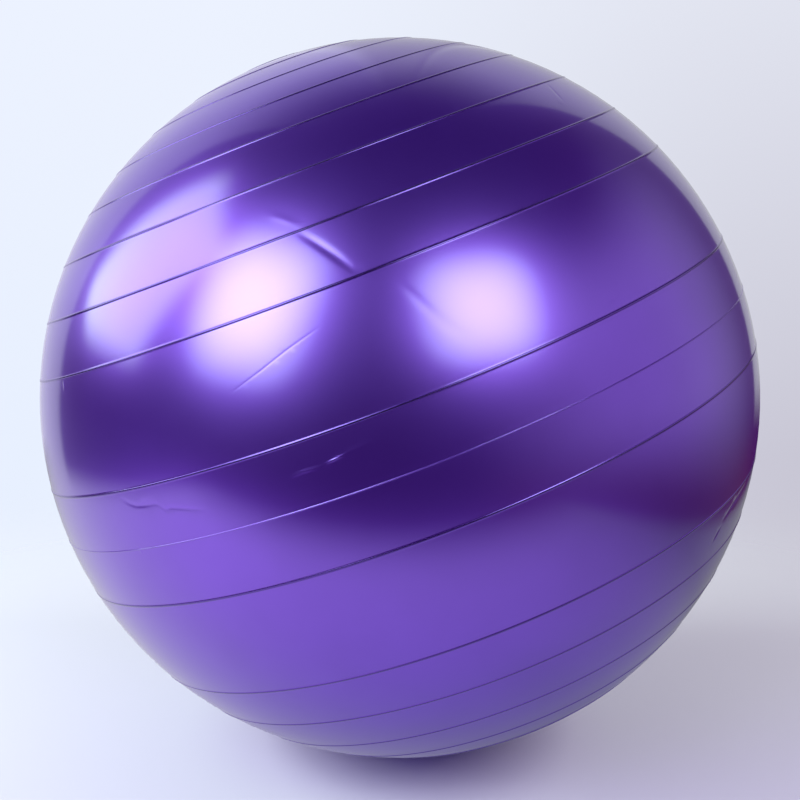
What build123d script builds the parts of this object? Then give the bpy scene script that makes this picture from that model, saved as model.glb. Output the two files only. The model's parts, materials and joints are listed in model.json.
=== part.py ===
"""An inflated exercise ball resting on a floor: a moulded vinyl skin with grip ribs, a bonded valve
seat and a removable stopper. Millimetres, +Z up, origin at the middle of the contact patch."""

import os
from math import acos, cos, degrees, radians, sin, sqrt

from build123d import *

# The skin
BALL_R = 325.0  # outer radius of the skin between the ribs: a 65 cm ball
SKIN = 0.8  # wall thickness when inflated
CONTACT_R = 40.0  # radius of the flat that the ball's weight presses on the floor
AXIS_LEAN = 20.6  # degrees that the rib axis leans towards -X

# The grip ribs are rings round the rib axis, at these degrees of latitude above and below the middle
# of the mould. The two wide smooth bands are on each side of the middle three rings.
RIB_WIDTH = 2.6
RIB_HEIGHT = 0.4
UPPER_RIBS = (8, 25, 33.75, 42.75, 51.5, 59.25, 67.5, 75.75, 84.5)
LOWER_RIBS = (9, 26.25, 35.25, 44.25, 53, 61.75, 70.5, 79.25)
PARTING = -0.25  # latitude of the mould's parting line
PARTING_WIDTH = 1.2
PARTING_HEIGHT = 0.35

# The valve seat is bonded into a hole at the upper pole, and its outer face is flush with the skin
BOSS_R = 11.5  # the part that fills the skin's hole
FLANGE_R = 18.0  # the part bonded to the inside of the skin
FLANGE = 2.0
NECK_R = 7.6
NECK_TIP_R = 6.8
NECK = 17.0  # length below the flange
BORE_R = 4.6
RECESS_R = 9.6  # takes the stopper's head
RECESS = 1.7

# The stopper
HEAD_R = 9.2
HEAD_RIM = 1.5  # height of the head's edge
HEAD_CROWN = 0.9  # rise of its top above that edge
UNDERCUT = 0.5  # chamfer under the edge, for the prying fork
HEAD_GAP = 0.05  # between the head and the floor of the recess
STEM_R = 3.9
STEM = 20.0
RIDGE_R = 4.55  # runs in the bore
RIDGES = 3
RIDGE_PITCH = 4.6
RIDGE_FIRST = 3.4  # from the head to the first ridge
RIDGE_RAMP = 2.6  # length of a ridge's sloping side
TIP_R = 3.1
TIP_TAPER = 3.0
CORE_R = 2.1
CORE = 14.0  # depth of the hollow in the stem
CORE_POINT = 1.2

INNER_R = BALL_R - SKIN
FLANGE_INNER_R = INNER_R - FLANGE
CENTRE_Z = sqrt(BALL_R**2 - CONTACT_R**2)  # height of the ball's centre above the floor


def above(across, radius=BALL_R):
    """Height over the ball's centre of a sphere about it, at a distance from the rib axis."""
    return sqrt(radius**2 - across**2)


def on_sphere(radius, latitude):
    """The (across, along) point at a radius and a latitude, in degrees from the parting line."""
    return radius * cos(radians(latitude)), radius * sin(radians(latitude))


def latitude_at(radius, across):
    """The upper latitude at which a sphere is this far from the rib axis."""
    return degrees(acos(across / radius))


def sphere_arc(radius, start, end):
    """An arc about the ball's centre from one latitude to another."""
    middle = (start + end) / 2
    return ThreePointArc(*(on_sphere(radius, latitude) for latitude in (start, middle, end)))


def revolved(edges):
    """The solid that a closed (across, along) outline sweeps round the rib axis."""
    return revolve(Plane.XZ * make_face(edges), Axis.Z)


def placed(shape):
    """A shape made about the ball's centre, leant over and lifted to where the ball rests."""
    return Location((0, 0, CENTRE_Z)) * Rotation(0, -AXIS_LEAN, 0) * shape


def rings():
    """The (latitude, width, height) of every rib and of the parting line, from the lower pole up."""
    lower = [(-latitude, RIB_WIDTH, RIB_HEIGHT) for latitude in reversed(LOWER_RIBS)]
    upper = [(latitude, RIB_WIDTH, RIB_HEIGHT) for latitude in UPPER_RIBS]
    return [*lower, (PARTING, PARTING_WIDTH, PARTING_HEIGHT), *upper]


def ribbed_shell():
    """The round skin with its ribs and the hole for the valve seat, before it meets the floor."""
    edges, latitude = [], -90.0
    for middle, width, height in rings():
        half = degrees(width / 2 / BALL_R)
        foot, crest = on_sphere(BALL_R, middle - half), on_sphere(BALL_R + height, middle)
        edges.append(sphere_arc(BALL_R, latitude, middle - half))
        latitude = middle + half
        edges.append(ThreePointArc(foot, crest, on_sphere(BALL_R, latitude)))
    edges.append(sphere_arc(BALL_R, latitude, latitude_at(BALL_R, BOSS_R)))
    edges.append(Line((BOSS_R, above(BOSS_R)), (BOSS_R, above(BOSS_R, INNER_R))))
    edges.append(sphere_arc(INNER_R, latitude_at(INNER_R, BOSS_R), -90.0))
    edges.append(Line((0, -INNER_R), (0, -BALL_R)))
    return revolved(edges)


def ball_skin():
    """The shell pressed flat on the floor, with the same wall over the flat."""
    room = 2 * (BALL_R + RIB_HEIGHT)
    over_floor = Box(room, room, room, align=(Align.CENTER, Align.CENTER, Align.MIN))
    flat_wall = Box(room, room, SKIN, align=(Align.CENTER, Align.CENTER, Align.MIN))
    flat = Pos(0, 0, CENTRE_Z) * Sphere(BALL_R - SKIN / 2) & flat_wall
    return (placed(ribbed_shell()) & over_floor) + flat


def valve_seat():
    """The bonded insert: a boss with a recess, a flange inside the skin, and the neck with the bore."""
    recess_floor = above(RECESS_R) - RECESS
    neck_tip = above(NECK_R, FLANGE_INNER_R) - NECK
    edges = Polyline(
        (BORE_R, recess_floor),
        (BORE_R, neck_tip),
        (NECK_TIP_R, neck_tip),
        (NECK_R, above(NECK_R, FLANGE_INNER_R)),
    ).edges()
    edges.append(
        sphere_arc(
            FLANGE_INNER_R,
            latitude_at(FLANGE_INNER_R, NECK_R),
            latitude_at(FLANGE_INNER_R, FLANGE_R),
        )
    )
    edges.append(Line((FLANGE_R, above(FLANGE_R, FLANGE_INNER_R)), (FLANGE_R, above(FLANGE_R, INNER_R))))
    edges.append(sphere_arc(INNER_R, latitude_at(INNER_R, FLANGE_R), latitude_at(INNER_R, BOSS_R)))
    edges.append(Line((BOSS_R, above(BOSS_R, INNER_R)), (BOSS_R, above(BOSS_R))))
    edges.append(sphere_arc(BALL_R, latitude_at(BALL_R, BOSS_R), latitude_at(BALL_R, RECESS_R)))
    edges.extend(
        Polyline((RECESS_R, above(RECESS_R)), (RECESS_R, recess_floor), (BORE_R, recess_floor)).edges()
    )
    return placed(revolved(edges))


def stem_outline(under):
    """The (across, along) corners of the stem's side, from the head down to the hollow's mouth."""
    corners = [(STEM_R, under)]
    for ridge in range(RIDGES):
        top = under - RIDGE_FIRST - ridge * RIDGE_PITCH
        corners += [(STEM_R, top), (RIDGE_R, top), (STEM_R, top - RIDGE_RAMP)]
    tip = under - STEM
    return [*corners, (STEM_R, tip + TIP_TAPER), (TIP_R, tip), (CORE_R, tip)]


def valve_stopper():
    """The push-in plug: a domed head, and a hollow stem with sealing ridges."""
    under = above(RECESS_R) - RECESS + HEAD_GAP
    rim_top, crown = (HEAD_R, under + HEAD_RIM), (0, under + HEAD_RIM + HEAD_CROWN)
    core_end = under - STEM + CORE
    edges = Polyline(
        rim_top,
        (HEAD_R, under + UNDERCUT),
        (HEAD_R - UNDERCUT, under),
        *stem_outline(under),
        (CORE_R, core_end),
        (0, core_end + CORE_POINT),
        crown,
    ).edges()
    edges.append(TangentArc(crown, rim_top, tangent=(1, 0)))
    return placed(revolved(edges))


PARTS = {"ball_skin": ball_skin, "valve_seat": valve_seat, "valve_stopper": valve_stopper}

os.makedirs("parts", exist_ok=True)
for name, make in PARTS.items():
    export_step(make(), f"parts/{name}.step")
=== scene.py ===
"""The exercise ball's looks: a detailed pearl vinyl skin, valve seat and stopper, in a soft studio."""

import json
from math import cos, hypot, pi, radians, sin, sqrt

import bmesh
import bpy
import numpy as np
from mathutils import Matrix, Vector


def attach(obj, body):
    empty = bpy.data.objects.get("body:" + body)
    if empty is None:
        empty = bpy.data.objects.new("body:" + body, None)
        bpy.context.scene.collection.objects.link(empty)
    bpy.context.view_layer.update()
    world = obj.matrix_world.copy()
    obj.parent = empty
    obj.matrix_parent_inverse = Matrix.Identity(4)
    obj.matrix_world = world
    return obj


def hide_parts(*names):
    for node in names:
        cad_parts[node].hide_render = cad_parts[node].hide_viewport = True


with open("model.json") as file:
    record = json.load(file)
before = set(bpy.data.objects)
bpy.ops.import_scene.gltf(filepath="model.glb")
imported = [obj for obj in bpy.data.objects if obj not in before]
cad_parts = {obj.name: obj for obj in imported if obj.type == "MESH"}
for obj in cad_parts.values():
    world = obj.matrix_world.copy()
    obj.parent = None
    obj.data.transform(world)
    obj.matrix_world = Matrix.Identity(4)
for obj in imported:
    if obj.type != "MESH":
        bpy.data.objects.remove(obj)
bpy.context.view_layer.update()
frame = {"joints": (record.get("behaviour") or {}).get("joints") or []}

MM = 0.001

# The ball, as the CAD model has it
BALL_R = 325 * MM
SKIN = 0.8 * MM
CONTACT_R = 40 * MM
RIB_WIDTH = 2.6 * MM
RIB_HEIGHT = 0.4 * MM
PARTING_WIDTH = 1.2 * MM
PARTING_HEIGHT = 0.35 * MM
UPPER_RIBS = (8, 25, 33.75, 42.75, 51.5, 59.25, 67.5, 75.75, 84.5)  # degrees of latitude
LOWER_RIBS = (9, 26.25, 35.25, 44.25, 53, 61.75, 70.5, 79.25)
PARTING = -0.25

# The valve, in millimetres, as the CAD model has it
BOSS_R = 11.5
FLANGE_R = 18.0
FLANGE = 2.0
NECK_R = 7.6
NECK_TIP_R = 6.8
NECK = 17.0
BORE_R = 4.6
RECESS_R = 9.6
RECESS = 1.7
HEAD_R = 9.2
HEAD_RIM = 1.5
HEAD_CROWN = 0.9
UNDERCUT = 0.5
HEAD_GAP = 0.05
STEM_R = 3.9
STEM = 20.0
RIDGE_R = 4.55
RIDGES = 3
RIDGE_PITCH = 4.6
RIDGE_FIRST = 3.4
RIDGE_RAMP = 2.6
TIP_R = 3.1
TIP_TAPER = 3.0
CORE_R = 2.1
CORE = 14.0
CORE_POINT = 1.2

# Finer shapes of the valve, in millimetres
SEAM_DEPTH = 0.3  # of the groove where skin and seat are bonded
SEAM_WIDTH = 0.5
DIMPLE_DEPTH = 0.3  # of the mark in the middle of the stopper's head
DIMPLE_R = 2.0
TURNED_STEPS = 96  # round the valve's axis
HEAD_STEPS = 24  # over the stopper's head

CENTRE = Vector((0, 0, sqrt(BALL_R**2 - CONTACT_R**2)))
AXIS = Vector(frame["joints"][0]["axis"]).normalized()  # from the ball's centre to the valve
ACROSS = Vector((0, 1, 0)).cross(AXIS)
MOULD = np.array([ACROSS, (0, 1, 0), AXIS])  # its rows are the mould's own axes

# Small faults of an inflated skin that was folded in its box
WAVE_COUNT = 14
WAVE_HEIGHT = 0.035 * MM
WAVE_TURNS = (6.0, 26.0)
RIB_CREST = 0.68  # where the sides of a rib are steepest, in half widths
# The next width is that of the painted shade along each rib
RIB_SHADE_WIDTH = 0.82  # of the darker line along a rib, in half widths
RIB_WANDER = 0.22 * MM
SEED = 7


def sphere_point(azimuth, elevation):
    """The unit direction of a place on the ball: azimuth 0 is its front, and +X is at 90 degrees."""
    a, e = radians(azimuth), radians(elevation)
    return np.array([sin(a) * cos(e), -cos(a) * cos(e), sin(e)])


# Each crease: its course over the ball as (azimuth, elevation) points, its half width and its height.
CREASES = (
    (((-15.3, 30.6), (-11.9, 28.9), (-9.1, 27.3), (-6.6, 25.6), (-4.4, 25.3)), 3.3 * MM, -0.34 * MM),
    (((-20.5, 33), (-17.8, 32.3), (-15, 31.4)), 3.2 * MM, 0.10 * MM),
    (((-21.7, 9.5), (-18, 12.3), (-14.4, 15.2), (-10.5, 18)), 0.8 * MM, -0.07 * MM),
    (((-40.6, -6.5), (-39.2, -6.9), (-37.9, -7.0), (-35.8, -6.6), (-33.4, -6)), 1.8 * MM, -0.22 * MM),
    (((-34.3, -6.1), (-33.1, -6.4), (-32.3, -6.7), (-31.4, -6.3), (-26, -5.9)), 1.6 * MM, -0.15 * MM),
    (((-13.7, -0.7), (-12.1, 0.1), (-10.2, 0.7), (-9.6, 1.0)), 1.2 * MM, 0.28 * MM),
    (((-9.3, 1.2), (-8.1, 1.8), (-6.7, 2.5)), 0.9 * MM, 0.45 * MM),
    (((-7.2, 2.3), (-5, 3.4), (-3.1, 4.3)), 2.4 * MM, 0.24 * MM),
    (((45.2, 59), (43, 54)), 1.5 * MM, -0.2 * MM),
    (((29.4, 20.5), (31.2, 21.2)), 1.2 * MM, -0.12 * MM),
    (((-0.4, 24), (3.4, 20.7), (5.7, 18.7), (9, 16.5)), 4.6 * MM, -0.06 * MM),
    (((-0.8, 24.3), (1.8, 22.2), (4.4, 19.9)), 3.2 * MM, -0.06 * MM),
    (((53.6, -15.7), (55.4, -13.4)), 1.6 * MM, -0.4 * MM),
    (((55.5, -12.5), (59, -10.6), (64.5, -8.7)), 2.2 * MM, -0.6 * MM),
    (((-39, -13), (-38.5, -14.1)), 1.0 * MM, 0.12 * MM),
    (((-56.4, 7.6), (-55.6, 6.4)), 0.9 * MM, 0.3 * MM),
)

COLUMNS = 240  # longitudes round the rib axis
ROW_STEP = 14 * MM
INNER_ROW_STEP = 40 * MM
CREASE_PASSES = ((2, 7 * MM, 1.0), (2, 1.8 * MM, 1.2), (1, 1.2 * MM, 0.2))  # cuts, reach, and half widths
SEAM_ROWS = (3.0, 1.6, 1.0, 0.7, 0.45, 0.2, 0)  # in millimetres from the valve seat
RIB_ROWS = (0, 0.34, 0.5, 0.63, 0.77, 0.98, 1.5)  # in half widths, on both sides


# ---------------------------------------------------------------- the skin's shape


def rings():
    """The (latitude, half width, height) of every rib and of the parting line, from the lower pole up."""
    lower = [(radians(-latitude), RIB_WIDTH / 2, RIB_HEIGHT) for latitude in reversed(LOWER_RIBS)]
    upper = [(radians(latitude), RIB_WIDTH / 2, RIB_HEIGHT) for latitude in UPPER_RIBS]
    return [*lower, (radians(PARTING), PARTING_WIDTH / 2, PARTING_HEIGHT), *upper]


def waves(seed, count, turns):
    """Random (direction, phase) pairs for gentle undulation over the ball."""
    random = np.random.default_rng(seed)
    directions = random.normal(size=(count, 3))
    directions /= np.linalg.norm(directions, axis=1)[:, None]
    return directions * random.uniform(*turns, size=(count, 1)), random.uniform(0, 2 * pi, count)


def undulation(unit, seed, count, turns):
    """A smooth random value of about -1 to 1 for each unit direction."""
    directions, phases = waves(seed, count, turns)
    return np.sin(unit @ directions.T + phases).sum(1) / sqrt(count)


def crease_distance(place, course):
    """How far each place is from a crease's course, and how far along the course its nearest point is."""
    spans = np.linalg.norm(np.diff(course, axis=0), axis=1)
    passed = np.concatenate([[0], np.cumsum(spans)])
    distance, along = np.full(len(place), np.inf), np.zeros(len(place))
    for index, span in enumerate(spans):
        start, end = course[index], course[index + 1]
        share = np.clip((place - start) @ (end - start) / span**2, 0, 1)
        here = np.linalg.norm(place - start - share[:, None] * (end - start), axis=1)
        along = np.where(here < distance, passed[index] + share * span, along)
        distance = np.minimum(distance, here)
    return distance, along / passed[-1]


def crease_course(points):
    """The points of a crease's course, about the ball's centre."""
    return np.array([sphere_point(*point) for point in points]) * BALL_R


def crease_height(unit, points, half_width, height):
    """How far one crease lifts the surface, fading out at its two ends."""
    course = crease_course(points)
    place = unit * BALL_R
    lift = np.zeros(len(unit))
    near = np.linalg.norm(place - course.mean(0), axis=1) < np.ptp(course, axis=0).max() + 6 * half_width
    distance, along = crease_distance(place[near], course)
    fade = np.sin(np.clip(along, 0.02, 0.98) * pi) ** 0.7
    lift[near] = height * fade * np.exp(-((distance / half_width) ** 2))
    return lift


def rib_profile(offset):
    """The share of its height that a rib has at an offset from its middle, in half widths."""
    return np.exp(-((offset / RIB_CREST) ** 4))


def ring_offsets(unit):
    """For each rib and the parting line, its height and the offsets of unit directions in half widths."""
    across, side, along = MOULD @ unit.T
    latitude = np.arctan2(along, np.hypot(across, side))
    wander = RIB_WANDER / BALL_R * undulation(unit, SEED + 1, 8, (2.0, 7.0))
    for middle, half_width, height in rings():
        yield height, np.abs(latitude + wander - middle) * BALL_R / half_width


def rib_shade_share(unit):
    """1 on a rib and 0 away from it, for the painted shade along the ribs, a darker line."""
    share = np.zeros(len(unit))
    for height, offset in ring_offsets(unit):
        if height > PARTING_HEIGHT:
            share += np.exp(-((offset / RIB_SHADE_WIDTH) ** 4))
    return share


def outer_radius(unit):
    """The distance from the ball's centre to its outer surface, in each unit direction."""
    radius = BALL_R + WAVE_HEIGHT * undulation(unit, SEED, WAVE_COUNT, WAVE_TURNS)
    for height, offset in ring_offsets(unit):
        radius += height * rib_profile(offset)
    for crease in CREASES:
        radius += crease_height(unit, *crease)
    across, side, along = MOULD @ unit.T
    from_seam = np.where(along > 0, np.hypot(across, side) * BALL_R / MM - BOSS_R, BOSS_R)
    radius -= SEAM_DEPTH * MM * np.exp(-((from_seam / SEAM_WIDTH) ** 2))
    return pressed(unit, radius, CENTRE.z)


def inner_radius(unit):
    """The distance from the ball's centre to the inside of the skin."""
    return pressed(unit, np.full(len(unit), BALL_R - SKIN), CENTRE.z - SKIN)


def pressed(unit, radius, floor_depth):
    """A radius cut off by the floor, with a soft edge all round the contact flat."""
    soft = 0.25 * MM
    down = np.maximum(-unit[:, 2], 1e-3)
    to_floor = np.minimum(floor_depth / down, 2 * BALL_R)
    lower = np.minimum(radius, to_floor)
    return lower - soft * np.log1p(np.exp(-np.abs(radius - to_floor) / soft))


def outward(unit, radius_of):
    """The surface normal in each unit direction, from the radius at four points close by."""
    step = 2e-4
    helper = np.where(np.abs(unit[:, 2:]) < 0.9, np.array([[0.0, 0, 1]]), np.array([[1.0, 0, 0]]))
    east = np.cross(helper, unit)
    east /= np.linalg.norm(east, axis=1)[:, None]
    north = np.cross(unit, east)
    normal = unit * radius_of(unit)[:, None]
    for side in (east, north):
        ahead, behind = (unit + side * step, unit - side * step)
        ahead /= np.linalg.norm(ahead, axis=1)[:, None]
        behind /= np.linalg.norm(behind, axis=1)[:, None]
        normal -= side * ((radius_of(ahead) - radius_of(behind)) / (2 * step))[:, None]
    return normal / np.linalg.norm(normal, axis=1)[:, None]


# ---------------------------------------------------------------- the skin's mesh


def between(start, end, step):
    """Evenly spaced values between two latitudes, without the ends."""
    count = max(1, round((end - start) * BALL_R / step))
    return list(np.linspace(start, end, count + 1)[1:-1])


def outer_rows():
    """The latitudes of the outer grid's rows, close together over each rib."""
    rows, edge = [], -pi / 2
    for middle, half_width, _ in rings():
        side = [offset * half_width / BALL_R for offset in RIB_ROWS]
        ring = [middle - away for away in reversed(side[1:])] + [middle + away for away in side]
        rows += between(edge, ring[0], ROW_STEP) + ring
        edge = ring[-1]
    seam = [pi / 2 - (BOSS_R + away) * MM / BALL_R for away in SEAM_ROWS]
    return rows + between(edge, seam[0], ROW_STEP) + seam


def grid_mesh(name):
    """The closed shell as a grid of rows round the rib axis: up the outside and down the inside."""
    outer = outer_rows()
    inner = between(-pi / 2, outer[-1], INNER_ROW_STEP)
    latitudes = np.array([*outer, outer[-1], *reversed(inner)])
    turn = np.linspace(0, 2 * pi, COLUMNS, endpoint=False)
    latitude, longitude = np.meshgrid(latitudes, turn, indexing="ij")
    local = np.stack(
        [np.cos(latitude) * np.cos(longitude), np.cos(latitude) * np.sin(longitude), np.sin(latitude)], -1
    )
    unit = local.reshape(-1, 3) @ MOULD
    unit = np.concatenate([unit, [-MOULD[2]], [-MOULD[2]]])
    outside = np.zeros(len(unit), bool)
    outside[: len(outer) * COLUMNS] = True
    outside[-2] = True
    radius = np.where(outside, outer_radius(unit), inner_radius(unit))
    points = unit * radius[:, None] + np.array(CENTRE)
    column = np.arange(COLUMNS)
    following = np.roll(column, -1)
    faces = []
    for row in range(len(latitudes) - 1):
        base, above = row * COLUMNS, (row + 1) * COLUMNS
        faces += zip(base + column, base + following, above + following, above + column)
    last = (len(latitudes) - 1) * COLUMNS
    faces += zip(np.full(COLUMNS, len(unit) - 2), following, column)
    faces += zip(last + column, last + following, np.full(COLUMNS, len(unit) - 1))
    mesh = bpy.data.meshes.new(name)
    mesh.from_pydata(points.tolist(), [], [tuple(int(i) for i in face) for face in faces])
    return mesh


def directions_of(mesh):
    """The unit direction and the distance of every vertex from the ball's centre."""
    points = np.zeros(len(mesh.vertices) * 3)
    mesh.vertices.foreach_get("co", points)
    points = points.reshape(-1, 3) - np.array(CENTRE)
    distance = np.linalg.norm(points, axis=1)
    return points / distance[:, None], distance


def refine_creases(mesh):
    """Divides the outer faces that a crease runs over, so that it is made by real geometry."""
    work = bmesh.new()
    work.from_mesh(mesh)
    for cuts, reach, widths in CREASE_PASSES:
        work.faces.ensure_lookup_table()
        centres = np.array([face.calc_center_median() for face in work.faces]) - np.array(CENTRE)
        touched = np.zeros(len(centres), bool)
        for points, half_width, _ in CREASES:
            distance, _ = crease_distance(centres, crease_course(points))
            touched |= distance < reach + widths * half_width
        touched &= np.linalg.norm(centres, axis=1) > BALL_R - SKIN / 2
        edges = {edge for index in np.flatnonzero(touched) for edge in work.faces[index].edges}
        bmesh.ops.subdivide_edges(work, edges=list(edges), cuts=cuts, use_grid_fill=True)
    work.to_mesh(mesh)
    work.free()


def make_skin():
    """The one-piece moulded skin, with its ribs, parting line, creases and inner face."""
    mesh = grid_mesh("skin")
    refine_creases(mesh)
    unit, distance = directions_of(mesh)
    outside = distance > BALL_R - 0.6 * SKIN
    outside |= (distance * -unit[:, 2] > CENTRE.z - 0.6 * SKIN)
    radius = np.where(outside, outer_radius(unit), inner_radius(unit))
    points = unit * radius[:, None] + np.array(CENTRE)
    mesh.vertices.foreach_set("co", points.ravel())
    # The rib attribute carries the painted shade along the ribs, and their lower shine
    shade = mesh.attributes.new("rib", "FLOAT", "POINT")
    shade.data.foreach_set("value", np.where(outside, rib_shade_share(unit), 0.0))
    normals = np.where(outside[:, None], outward(unit, outer_radius), -outward(unit, inner_radius))
    mesh.shade_smooth()
    mesh.update()
    mesh.normals_split_custom_set_from_vertices(normals.tolist())
    return add_object("skin", mesh)


def add_object(name, mesh):
    """A new object in the scene."""
    thing = bpy.data.objects.new(name, mesh)
    bpy.context.scene.collection.objects.link(thing)
    return thing


# ---------------------------------------------------------------- the valve


def above(across, radius=BALL_R / MM):
    """Height over the ball's centre of a sphere about it, at a distance from the rib axis."""
    return sqrt(radius**2 - across**2)


def rounded(corners, steps=4):
    """An outline through (across, along, trim) corners, each rounded off from a trim's length away."""
    points = []
    for index, (across, along, trim) in enumerate(corners):
        corner = np.array([across, along])
        if not trim:
            points.append(corner)
            continue
        ends = []
        for neighbour in (corners[index - 1], corners[(index + 1) % len(corners)]):
            side = np.array(neighbour[:2]) - corner
            ends.append(corner + side / np.linalg.norm(side) * trim)
        for share in np.linspace(0, 1, steps + 1):
            middle = 2 * share * (1 - share) * corner
            points.append((1 - share) ** 2 * ends[0] + middle + share**2 * ends[1])
    return np.array(points)


def outline_normals(outline, closed):
    """The outward normal at each point of an outline that has its material on its right."""
    mirror = np.array([-1, 1])
    before = np.vstack([outline[-1] if closed else outline[1] * mirror, outline[:-1]])
    after = np.vstack([outline[1:], outline[0] if closed else outline[-2] * mirror])
    course = after - before
    normals = np.stack([-course[:, 1], course[:, 0]], -1)
    return normals / np.linalg.norm(normals, axis=1)[:, None]


def turned(name, outline, closed):
    """A piece turned round the rib axis from an outline of (across, along) points in millimetres."""
    turn = np.linspace(0, 2 * pi, TURNED_STEPS, endpoint=False)
    spokes = np.cos(turn)[:, None] * MOULD[0] + np.sin(turn)[:, None] * MOULD[1]
    rows = len(outline)

    def spread(values):
        """Each (across, along) pair, turned all the way round the valve's axis."""
        return (values[:, 0, None, None] * spokes + values[:, 1, None, None] * MOULD[2]).reshape(-1, 3)

    points = spread(outline * MM) + np.array(CENTRE)
    normals = spread(outline_normals(outline, closed))
    column = np.arange(TURNED_STEPS)
    following = np.roll(column, -1)
    faces = []
    for row in range(rows if closed else rows - 1):
        here, there = row * TURNED_STEPS, (row + 1) % rows * TURNED_STEPS
        faces += zip(here + column, there + column, there + following, here + following)
    mesh = bpy.data.meshes.new(name)
    mesh.from_pydata(points.tolist(), [], [tuple(int(i) for i in face) for face in faces])
    mesh.shade_smooth()
    mesh.update()
    mesh.normals_split_custom_set_from_vertices(normals.tolist())
    return add_object(name, mesh)


def make_valve_seat():
    """The bonded insert, with its recess, flange, neck and bore."""
    recess_floor = above(RECESS_R) - RECESS
    inner, flange_inner = (BALL_R - SKIN) / MM, (BALL_R - SKIN) / MM - FLANGE
    neck_tip = above(NECK_R, flange_inner) - NECK
    corners = (
        (RECESS_R, above(RECESS_R), 0.25),
        (BOSS_R, above(BOSS_R), 0.4),
        (BOSS_R, above(BOSS_R, inner), 0),
        (FLANGE_R, above(FLANGE_R, inner), 0.2),
        (FLANGE_R, above(FLANGE_R, flange_inner), 0.6),
        (NECK_R, above(NECK_R, flange_inner), 1.2),
        (NECK_TIP_R, neck_tip, 0.6),
        (BORE_R, neck_tip, 0.3),
        (BORE_R, recess_floor, 0.4),
        (RECESS_R, recess_floor, 0.3),
    )
    return turned("valve_insert", rounded(corners), closed=True)


def make_stopper():
    """The push-in plug, with its domed head, ridged stem and hollow core."""
    under = above(RECESS_R) - RECESS + HEAD_GAP
    rim_top = under + HEAD_RIM
    tip = under - STEM
    corners = [(0, rim_top + HEAD_CROWN, 0), (HEAD_R, rim_top, 0.35), (HEAD_R, under + UNDERCUT, 0.2)]
    corners += [(HEAD_R - UNDERCUT, under, 0.2), (STEM_R, under, 0.4)]
    for ridge in range(RIDGES):
        top = under - RIDGE_FIRST - ridge * RIDGE_PITCH
        corners += [(STEM_R, top, 0.2), (RIDGE_R, top, 0.2), (STEM_R, top - RIDGE_RAMP, 0.3)]
    corners += [(STEM_R, tip + TIP_TAPER, 0.5), (TIP_R, tip, 0.3), (CORE_R, tip, 0.2)]
    corners += [(CORE_R, tip + CORE, 0.3), (0, tip + CORE + CORE_POINT, 0)]
    outline = rounded(corners)[1:]
    across = np.linspace(0, outline[0][0], HEAD_STEPS, endpoint=False)
    crown = rim_top + HEAD_CROWN * (1 - (across / HEAD_R) ** 2)
    crown -= DIMPLE_DEPTH * np.exp(-((across / DIMPLE_R) ** 6))
    return turned("stopper", np.vstack([np.stack([across, crown], -1), outline]), closed=False)


# ---------------------------------------------------------------- materials


def node(tree, kind, **values):
    """A shader node with some of its inputs or properties set."""
    made = tree.nodes.new(kind)
    for key, value in values.items():
        if hasattr(made, key):
            setattr(made, key, value)
        else:
            made.inputs[key.replace("_", " ")].default_value = value
    return made


def new_material(name):
    """An empty material and the tree and shader to fill in."""
    material = bpy.data.materials.new(name)
    material.use_nodes = True
    tree = material.node_tree
    return material, tree, tree.nodes["Principled BSDF"]


def cloudy(tree, scale, dark, light):
    """A slightly cloudy colour between two others."""
    place = node(tree, "ShaderNodeTexCoord")
    cloud = node(tree, "ShaderNodeTexNoise", Scale=scale, Detail=3.0, Roughness=0.5)
    tree.links.new(place.outputs["Object"], cloud.inputs["Vector"])
    return blend(tree, ramp(tree, cloud.outputs["Fac"], 0.3, 0.7), dark, light)


def grain(tree, shader, scale, depth):
    """Gives a shader a fine moulded grain."""
    place = node(tree, "ShaderNodeTexCoord")
    noise = node(tree, "ShaderNodeTexNoise", Scale=scale, Detail=2.0, Roughness=0.6)
    tree.links.new(place.outputs["Object"], noise.inputs["Vector"])
    bump = node(tree, "ShaderNodeBump", Strength=0.25, Distance=depth)
    tree.links.new(noise.outputs["Fac"], bump.inputs["Height"])
    tree.links.new(bump.outputs["Normal"], shader.inputs["Normal"])


SKIN_COLOURS = ((0.181, 0.060, 0.595), (0.199, 0.067, 0.650))
SKIN_ROUGHNESS = 0.33
SKIN_COAT = 1.0

# Along the ribs the colour is darker, a painted shade for the shade in their steep sides, and they are less
# shiny
RIB_SHADE_COLOUR = (0.092, 0.031, 0.315)
RIB_ROUGHNESS = 0.25
RIB_COAT = 0.5


GRAIN_DEPTH = 0.00003  # metres


def pearl_skin():
    """Purple vinyl with pearl pigment under its own glossy surface."""
    material, tree, shader = new_material("pearl_skin")
    shader.inputs["Metallic"].default_value = 0.98
    shader.inputs["IOR"].default_value = 1.5
    shader.inputs["Coat Roughness"].default_value = 0.09
    shader.inputs["Coat IOR"].default_value = 1.5
    rib = node(tree, "ShaderNodeAttribute", attribute_name="rib").outputs["Fac"]
    # The ribs' darker colour is painted shade
    colour = blend(tree, rib, cloudy(tree, 9.0, *SKIN_COLOURS), RIB_SHADE_COLOUR)
    tree.links.new(colour, shader.inputs["Base Color"])
    changes = (("Roughness", SKIN_ROUGHNESS, RIB_ROUGHNESS), ("Coat Weight", SKIN_COAT, RIB_COAT))
    for socket, smooth, on_rib in changes:
        change = node(tree, "ShaderNodeMapRange", To_Min=smooth, To_Max=on_rib)
        tree.links.new(rib, change.inputs["Value"])
        tree.links.new(change.outputs["Result"], shader.inputs[socket])
    grain(tree, shader, 900.0, GRAIN_DEPTH)
    return material


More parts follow.
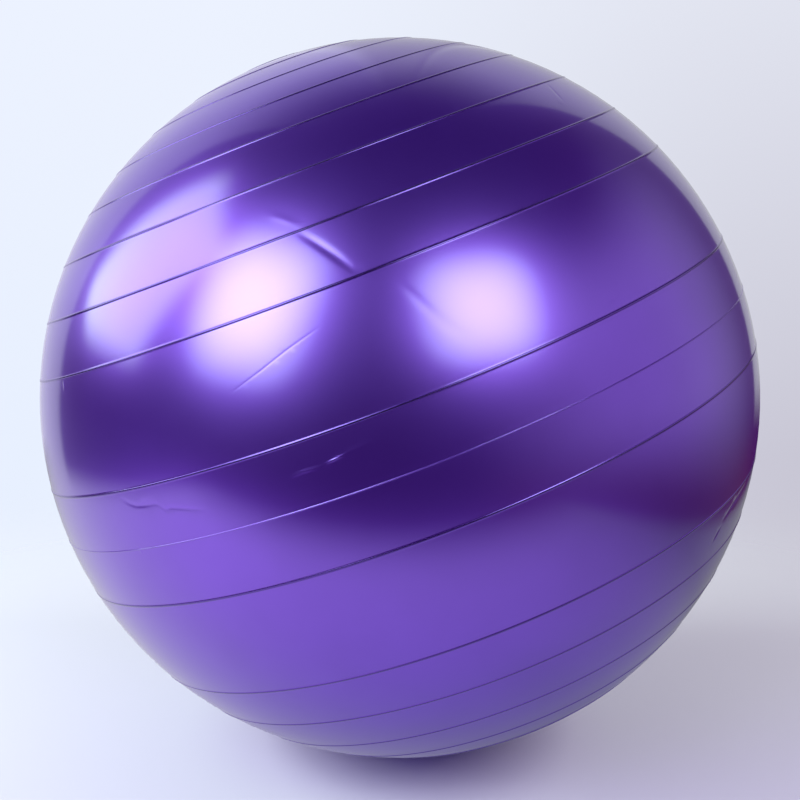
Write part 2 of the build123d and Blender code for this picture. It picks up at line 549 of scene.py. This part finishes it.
def seat_vinyl():
    """The same purple without the pearl, and duller, for the thick bonded insert."""
    material, tree, shader = new_material("seat_vinyl")
    shader.inputs["Metallic"].default_value = 0.25
    shader.inputs["Roughness"].default_value = 0.4
    shader.inputs["Coat Weight"].default_value = 0.3
    shader.inputs["Coat Roughness"].default_value = 0.25
    colour = cloudy(tree, 60.0, (0.085, 0.032, 0.30), (0.110, 0.042, 0.38))
    tree.links.new(colour, shader.inputs["Base Color"])
    grain(tree, shader, 2400.0, GRAIN_DEPTH)
    return material


def stopper_white():
    """Off-white polyethylene with a waxy surface."""
    material, tree, shader = new_material("stopper_white")
    shader.inputs["Roughness"].default_value = 0.42
    shader.inputs["Subsurface Weight"].default_value = 0.25
    shader.inputs["Subsurface Radius"].default_value = (0.004, 0.004, 0.003)
    colour = cloudy(tree, 90.0, (0.57, 0.56, 0.52), (0.63, 0.62, 0.58))
    tree.links.new(colour, shader.inputs["Base Color"])
    grain(tree, shader, 2400.0, GRAIN_DEPTH)
    return material


# ---------------------------------------------------------------- studio

CAMERA_ELEVATION = radians(9.6)
CAMERA_DISTANCE = 3.804 * BALL_R
LENS = 59.5
AIM_DROP = 2.15 * MM


def make_camera():
    """The camera in front of the ball, a little above its centre."""
    up = Vector((0, sin(CAMERA_ELEVATION), cos(CAMERA_ELEVATION)))
    back = Vector((0, -cos(CAMERA_ELEVATION), sin(CAMERA_ELEVATION)))
    data = bpy.data.cameras.new("camera")
    data.lens = LENS
    camera = bpy.data.objects.new("camera", data)
    camera.matrix_world = Matrix.Translation(CENTRE - up * AIM_DROP + back * CAMERA_DISTANCE) @ (
        back.to_track_quat("Z", "Y").to_matrix().to_4x4()
    )
    bpy.context.scene.collection.objects.link(camera)
    bpy.context.scene.camera = camera


def flat_sheet(name, low, high):
    """A plain rectangle in its own XY plane, as a part of the stage."""
    mesh = bpy.data.meshes.new(name)
    corners = [(low[0], low[1]), (high[0], low[1]), (high[0], high[1]), (low[0], high[1])]
    mesh.from_pydata([(x, y, 0) for x, y in corners], [], [(0, 1, 2, 3)])
    sheet = add_object(name, mesh)
    return sheet


def calculate(tree, operation, first, second=None, third=None):
    """The output of a math node on sockets or plain numbers."""
    made = node(tree, "ShaderNodeMath", operation=operation)
    for socket, value in zip(made.inputs, (first, second, third)):
        if isinstance(value, bpy.types.NodeSocket):
            tree.links.new(value, socket)
        elif value is not None:
            socket.default_value = value
    return made.outputs["Value"]


def ramp(tree, value, start, end, kind="SMOOTHSTEP"):
    """0 where a value is at the start or before it, 1 where it is at the end or past it."""
    made = node(tree, "ShaderNodeMapRange", interpolation_type=kind, From_Min=start, From_Max=end)
    tree.links.new(value, made.inputs["Value"])
    return made.outputs["Result"]


def blend(tree, share, first, second):
    """A colour part of the way from the first to the second, each a colour or the output of a node."""
    made = node(tree, "ShaderNodeMixRGB")
    tree.links.new(share, made.inputs["Fac"])
    for socket, value in ((made.inputs["Color1"], first), (made.inputs["Color2"], second)):
        if isinstance(value, tuple):
            socket.default_value = (*value, 1)
        else:
            tree.links.new(value, socket)
    return made.outputs["Color"]


def xyz_of(tree, vector):
    """The three parts of a vector."""
    made = node(tree, "ShaderNodeSeparateXYZ")
    tree.links.new(vector, made.inputs["Vector"])
    return made.outputs["X"], made.outputs["Y"], made.outputs["Z"]


def glowing(tree, colour, strength, cover):
    """A surface that glows, and that hides what is behind it only as far as its cover says."""
    light = node(tree, "ShaderNodeEmission")
    if isinstance(colour, tuple):
        light.inputs["Color"].default_value = (*colour, 1)
    else:
        tree.links.new(colour, light.inputs["Color"])
    tree.links.new(strength, light.inputs["Strength"])
    clear = node(tree, "ShaderNodeBsdfTransparent")
    tree.links.new(calculate(tree, "SUBTRACT", 1.0, cover), clear.inputs["Color"])
    both = node(tree, "ShaderNodeAddShader")
    tree.links.new(light.outputs["Emission"], both.inputs[0])
    tree.links.new(clear.outputs["BSDF"], both.inputs[1])
    output = node(tree, "ShaderNodeOutputMaterial")
    tree.links.new(both.outputs["Shader"], output.inputs["Surface"])


def empty_tree(sheet, name):
    """A new material on a sheet, and its node tree with nothing in it."""
    material = bpy.data.materials.new(name)
    material.use_nodes = True
    material.node_tree.nodes.clear()
    sheet.data.materials.append(material)
    return material.node_tree


def softbox(name, azimuth, elevation):
    """The shader of a sheet that faces the ball, and its two directions in metres, unseen by the camera."""
    sheet = flat_sheet(name, (-1, -1), (1, 1))
    away = Vector(sphere_point(azimuth, elevation))
    turn = away.to_track_quat("Z", "Y").to_matrix().to_4x4()
    sheet.matrix_world = Matrix.Translation(CENTRE + away * SOFTBOX_DISTANCE) @ turn
    sheet.visible_camera = False
    sheet.visible_diffuse = False
    sheet.visible_shadow = False
    tree = empty_tree(sheet, name)
    x, y, _ = xyz_of(tree, node(tree, "ShaderNodeTexCoord").outputs["Object"])
    return tree, x, y


def shine(tree, glow, power, colour):
    """The light of a soft box whose glow goes from 0 to 1."""
    strength = calculate(tree, "MULTIPLY", glow, power)
    glowing(tree, colour, strength, ramp(tree, glow, 0.0, SOLID_GLOW, "LINEAR"))


def round_glow(tree, x, y, width, height, peak):
    """The glow of a soft box with rounded corners, brightest in its middle."""
    across = calculate(tree, "ABSOLUTE", calculate(tree, "MULTIPLY", x, 2 / width))
    along = calculate(tree, "ABSOLUTE", calculate(tree, "MULTIPLY", y, 2 / height))
    wide = calculate(tree, "POWER", across, SOFTBOX_SQUARENESS)
    high = calculate(tree, "POWER", along, SOFTBOX_SQUARENESS)
    return ramp(tree, calculate(tree, "ADD", wide, high), 1.0, -peak, "SMOOTHERSTEP")


def cornered_glow(tree, x, y, corners):
    """The glow of an even soft box whose corners are given clockwise."""
    glow = 1.0
    for (x0, y0), (x1, y1) in zip(corners, (*corners[1:], corners[0])):
        length = hypot(x1 - x0, y1 - y0)
        inward = ((y1 - y0) / length, (x0 - x1) / length)
        edge = inward[0] * x0 + inward[1] * y0
        depth = calculate(tree, "MULTIPLY", x, inward[0])
        depth = calculate(tree, "ADD", calculate(tree, "MULTIPLY", y, inward[1]), depth)
        inside = ramp(tree, depth, edge - CORNERED_SOFTNESS / 2, edge + CORNERED_SOFTNESS / 2)
        glow = calculate(tree, "MULTIPLY", inside, glow)
    return glow


def make_softboxes():
    """The three soft lights that the ball mirrors."""
    tree, x, y = softbox("left_box", *LEFT_BOX_PLACE)
    shine(tree, cornered_glow(tree, x, y, LEFT_BOX_CORNERS), LEFT_BOX_POWER, LEFT_BOX_COLOUR)
    for name, (azimuth, elevation, width, height, peak, power, colour) in ROUND_BOXES.items():
        tree, x, y = softbox(name, azimuth, elevation)
        shine(tree, round_glow(tree, x, y, width, height, peak), power, colour)


def make_floor():
    """A wide pale floor for the eye, fading into the backdrop, with a painted shadow round the ball's foot.
    """
    floor = flat_sheet("floor", (-FLOOR_HALF, -FLOOR_HALF), (FLOOR_HALF, FLOOR_HALF))
    floor.location.z = -FLOOR_DROP
    floor.visible_glossy = False
    material, tree, shader = new_material("floor")
    floor.data.materials.append(material)
    shader.inputs["Roughness"].default_value = 0.9
    shader.inputs["Specular IOR Level"].default_value = 0.0
    place = node(tree, "ShaderNodeTexCoord")
    length = node(tree, "ShaderNodeVectorMath", operation="LENGTH")
    tree.links.new(place.outputs["Object"], length.inputs[0])
    # Darker and violet near the ball's foot: a painted shadow, with painted violet light from the ball
    near = ramp(tree, length.outputs["Value"], *FLOOR_SHADOW_REACH)
    tree.links.new(blend(tree, near, FLOOR_SHADOW_COLOUR, FLOOR_COLOUR), shader.inputs["Base Color"])
    clear = node(tree, "ShaderNodeBsdfTransparent")
    mix = node(tree, "ShaderNodeMixShader")
    tree.links.new(ramp(tree, length.outputs["Value"], *FLOOR_FADE), mix.inputs["Fac"])
    tree.links.new(shader.outputs["BSDF"], mix.inputs[1])
    tree.links.new(clear.outputs["BSDF"], mix.inputs[2])
    tree.links.new(mix.outputs["Shader"], tree.nodes["Material Output"].inputs["Surface"])


def make_paper():
    """The white paper under the ball, as the ball mirrors it: a glowing sheet with painted light from the
    left and a painted shadow of the ball.
    """
    paper = flat_sheet("paper", (-PAPER_HALF, -PAPER_HALF), (PAPER_HALF, PAPER_HALF))
    paper.visible_camera = False
    paper.visible_diffuse = False
    paper.visible_shadow = False
    tree = empty_tree(paper, "paper")
    place = node(tree, "ShaderNodeTexCoord")
    x, y, _ = xyz_of(tree, place.outputs["Object"])
    soft = PAPER_SOFTNESS / 2
    cover = ramp(tree, x, PAPER_LEFT - soft, PAPER_LEFT + soft)
    crisp = PAPER_RIGHT_SOFTNESS / 2
    cover = calculate(tree, "MULTIPLY", cover, ramp(tree, x, PAPER_RIGHT + crisp, PAPER_RIGHT - crisp))
    cover = calculate(tree, "MULTIPLY", cover, ramp(tree, y, PAPER_FRONT - soft, PAPER_FRONT + soft))
    cover = calculate(tree, "MULTIPLY", cover, ramp(tree, y, PAPER_BACK + soft, PAPER_BACK - soft))
    slope = calculate(tree, "MULTIPLY_ADD", y, PAPER_SLOPE[1], 1.0)
    slope = calculate(tree, "MULTIPLY_ADD", x, PAPER_SLOPE[0], slope)
    slope = calculate(tree, "MAXIMUM", slope, PAPER_DIMMEST)
    from_shadow = node(tree, "ShaderNodeVectorMath", operation="DISTANCE")
    from_shadow.inputs[1].default_value = SHADOW_MIDDLE
    tree.links.new(place.outputs["Object"], from_shadow.inputs[0])
    away = calculate(tree, "DIVIDE", from_shadow.outputs["Value"], SHADOW_R)
    fall = calculate(tree, "MULTIPLY", calculate(tree, "MULTIPLY", away, away), -1.0)
    shadow = calculate(tree, "EXPONENT", fall)
    lit = calculate(tree, "MULTIPLY_ADD", shadow, -SHADOW_DEPTH, 1.0)
    strength = calculate(tree, "MULTIPLY", calculate(tree, "MULTIPLY", cover, slope), lit)
    glowing(tree, blend(tree, shadow, PAPER_COLOUR, SHADOW_COLOUR), strength, cover)


FLOOR_HALF = 6  # metres, half its width
FLOOR_DROP = 0.4 * MM  # below the ball's foot
FLOOR_COLOUR = (0.55, 0.615, 0.59)
FLOOR_FADE = (0.35, 1.15)  # metres from the ball's foot
# The painted shadow round the ball's foot: where it ends, and its violet colour
FLOOR_SHADOW_REACH = (0.06, 0.22)  # metres from the ball's foot
FLOOR_SHADOW_COLOUR = (0.43, 0.42, 0.52)

# The paper that the ball mirrors, in metres from the ball's foot
PAPER_HALF = 4  # half the width of the sheet that carries it
PAPER_COLOUR = (0.57, 0.58, 0.615)
PAPER_LEFT = -1.05
PAPER_RIGHT = 0.74
PAPER_FRONT = -0.72
PAPER_BACK = 1.15
PAPER_SOFTNESS = 0.41
PAPER_RIGHT_SOFTNESS = 0.16
PAPER_SLOPE = (-0.92, -0.95)  # change of its brightness per metre to the right and to the back
PAPER_DIMMEST = 0.46
# The ball's shadow, painted on the glowing paper: its middle, reach, depth and colour
SHADOW_MIDDLE = (0.07, 0, 0)
SHADOW_R = 0.27
SHADOW_DEPTH = 0.74
SHADOW_COLOUR = (0.61, 0.585, 0.95)

# Each fill: its azimuth and elevation, its size, its power and its colour
FILL_DISTANCE = 2.5
FILLS = {
    "left_fill": (-85, 25, 1.5, 125, (1.0, 1.0, 1.0)),
    "front_fill": (-40, 30, 1.5, 33, (0.68, 0.54, 1.25)),
    "right_fill": (80, 35, 1.5, 50, (1.15, 1.0, 1.15)),
}

SOFTBOX_DISTANCE = 1.6
SOFTBOX_SQUARENESS = 3.0
SOLID_GLOW = 0.33  # a soft box hides what is behind it where it glows at least this much
# Each round soft box: its azimuth and elevation, its width and height, how peaked it is, its power and
# its colour
ROUND_BOXES = {
    "main_box": (-45, 30.2, 1.29, 1.45, 1.19, 16.2, (0.91, 1.40, 0.88)),
    "right_box": (24.4, 31.8, 1.17, 1.05, 0.85, 10.6, (0.92, 1.34, 0.88)),
}
# The left soft box stands aslant, and has corners that are metres from its middle
LEFT_BOX_PLACE = (-90, 28.6)
LEFT_BOX_CORNERS = ((-0.06, 0.70), (0.60, 0.42), (0.32, -0.57), (-0.52, -0.56), (-0.68, -0.34))
LEFT_BOX_POWER = 3.45
LEFT_BOX_COLOUR = (0.91, 1.20, 0.88)
CORNERED_SOFTNESS = 0.24

# What the ball mirrors of the room round it, beyond the floor. Each panel has the middle and half width
# of its azimuth and the softness of its sides, its lowest elevation and its softness, its highest
# elevation and its softness, and its colour. Panels add up, and a negative colour takes away.
PANELS = {
    "room": (0, 200, 1, -100, 1, 100, 1, (0.060, 0.007, 0.106)),
    "ceiling": (0, 200, 1, 56, 30, 100, 30, (0.003, 0.012, 0.020)),
    "right_wall": (82, 40.6, 50, -11, 24, 37.7, 24, (0.596, 0.61, 0.598)),
    "backdrop_right": (160, 15, 1, -8.5, 5, 56, 31, (0.49, 0.55, 0.48)),
    "backdrop_middle": (181, 6, 4, -90, 1, 56, 31, (0.49, 0.55, 0.48)),
    "backdrop_left": (209, 22.6, 4, -90, 1, 54, 39, (0.672, 0.72, 0.76)),
    "right_low": (90, 60, 20, -60, 10, -12, 10, (0.048, 0.010, -0.030)),
    "left_low": (-95, 30, 20, -60, 10, -6, 10, (0.070, 0.067, 0.115)),
}

# The backdrop that the camera sees, at its upper and lower edge; its darker lower right is a painted shadow
# of the ball
BACKDROP_LEFT = ((0.840, 0.888, 1.0), (0.807, 0.871, 1.0))
BACKDROP_RIGHT = ((0.745, 0.761, 0.855), (0.578, 0.565, 0.661))
BACKDROP_FALL = (0.12, -0.2)  # height of the view direction at its upper and lower edge
BACKDROP_TURN = (-0.15, 0.32)  # X of the view direction where its left colours end and its right ones begin


def panel_mask(tree, direction, middle, half, side_soft, low, low_soft, high, high_soft):
    """1 inside a panel of the room and 0 outside it, for each direction."""
    turned_to = node(tree, "ShaderNodeVectorRotate", rotation_type="Z_AXIS", Angle=-radians(middle))
    tree.links.new(direction, turned_to.inputs["Vector"])
    x, y, z = xyz_of(tree, turned_to.outputs["Vector"])
    azimuth = calculate(tree, "ARCTAN2", x, calculate(tree, "MULTIPLY", y, -1.0))
    azimuth = calculate(tree, "ABSOLUTE", azimuth)
    elevation = calculate(tree, "ARCSINE", z)
    edges = (
        (azimuth, half + side_soft / 2, half - side_soft / 2),
        (elevation, low - low_soft / 2, low + low_soft / 2),
        (elevation, high + high_soft / 2, high - high_soft / 2),
    )
    mask = 1.0
    for angle, outside, inside in edges:
        mask = calculate(tree, "MULTIPLY", ramp(tree, angle, radians(outside), radians(inside)), mask)
    return mask


def backdrop_colour(tree, direction):
    """The pale backdrop as the camera sees it, darker towards its lower right: a painted shadow of the
    ball, cast to the right.
    """
    x, _, z = xyz_of(tree, direction)
    down = ramp(tree, z, *BACKDROP_FALL, "LINEAR")
    left = blend(tree, down, *BACKDROP_LEFT)
    right = blend(tree, down, *BACKDROP_RIGHT)
    return blend(tree, ramp(tree, x, *BACKDROP_TURN), left, right)


def make_world():
    """Pale for the camera, and for the ball a dark room with a pale backdrop behind and a wall at right."""
    world = bpy.data.worlds.new("studio")
    bpy.context.scene.world = world
    world.use_nodes = True
    tree = world.node_tree
    tree.nodes.clear()
    direction = node(tree, "ShaderNodeTexCoord").outputs["Generated"]
    colour = None
    for name, (*extent, shade) in PANELS.items():
        scaled = node(tree, "ShaderNodeVectorMath", operation="SCALE")
        scaled.label = name
        scaled.inputs[0].default_value = shade
        tree.links.new(panel_mask(tree, direction, *extent), scaled.inputs["Scale"])
        total = node(tree, "ShaderNodeVectorMath", operation="ADD")
        tree.links.new(scaled.outputs["Vector"], total.inputs[0])
        if colour:
            tree.links.new(colour, total.inputs[1])
        colour = total.outputs["Vector"]
    path = node(tree, "ShaderNodeLightPath")
    lit = node(tree, "ShaderNodeBackground")
    tree.links.new(colour, lit.inputs["Color"])
    pale = node(tree, "ShaderNodeBackground")
    tree.links.new(backdrop_colour(tree, direction), pale.inputs["Color"])
    mix = node(tree, "ShaderNodeMixShader")
    tree.links.new(path.outputs["Is Camera Ray"], mix.inputs["Fac"])
    tree.links.new(lit.outputs["Background"], mix.inputs[1])
    tree.links.new(pale.outputs["Background"], mix.inputs[2])
    output = node(tree, "ShaderNodeOutputWorld")
    tree.links.new(mix.outputs["Shader"], output.inputs["Surface"])


def make_fill(name, azimuth, elevation, size, power, colour):
    """A soft light that only matt things show, such as the floor."""
    data = bpy.data.lights.new(name, "AREA")
    data.shape = "SQUARE"
    data.size = size
    data.energy = power
    data.color = colour
    fill = bpy.data.objects.new(name, data)
    away = Vector(sphere_point(azimuth, elevation))
    turn = away.to_track_quat("Z", "Y").to_matrix().to_4x4()
    fill.matrix_world = Matrix.Translation(away * FILL_DISTANCE) @ turn
    fill.visible_glossy = False
    bpy.context.scene.collection.objects.link(fill)


def make_lights():
    """Three soft boxes that the ball mirrors, and the fills that light the floor."""
    make_softboxes()
    for name, values in FILLS.items():
        make_fill(name, *values)


def place_piece(piece, body, cad_node, material):
    """Puts a piece on its body in place of its CAD solid, with its material."""
    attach(piece, body)
    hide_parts(cad_node)
    piece.data.materials.append(material)


def main():
    """Makes the three pieces and the studio round them."""
    place_piece(make_skin(), "ball", "ball_skin", pearl_skin())
    place_piece(make_valve_seat(), "ball", "valve_seat", seat_vinyl())
    place_piece(make_stopper(), "stopper", "valve_stopper", stopper_white())
    make_camera()
    make_floor()
    make_paper()
    make_world()
    make_lights()
    bpy.context.scene.view_settings.view_transform = "Standard"


main()
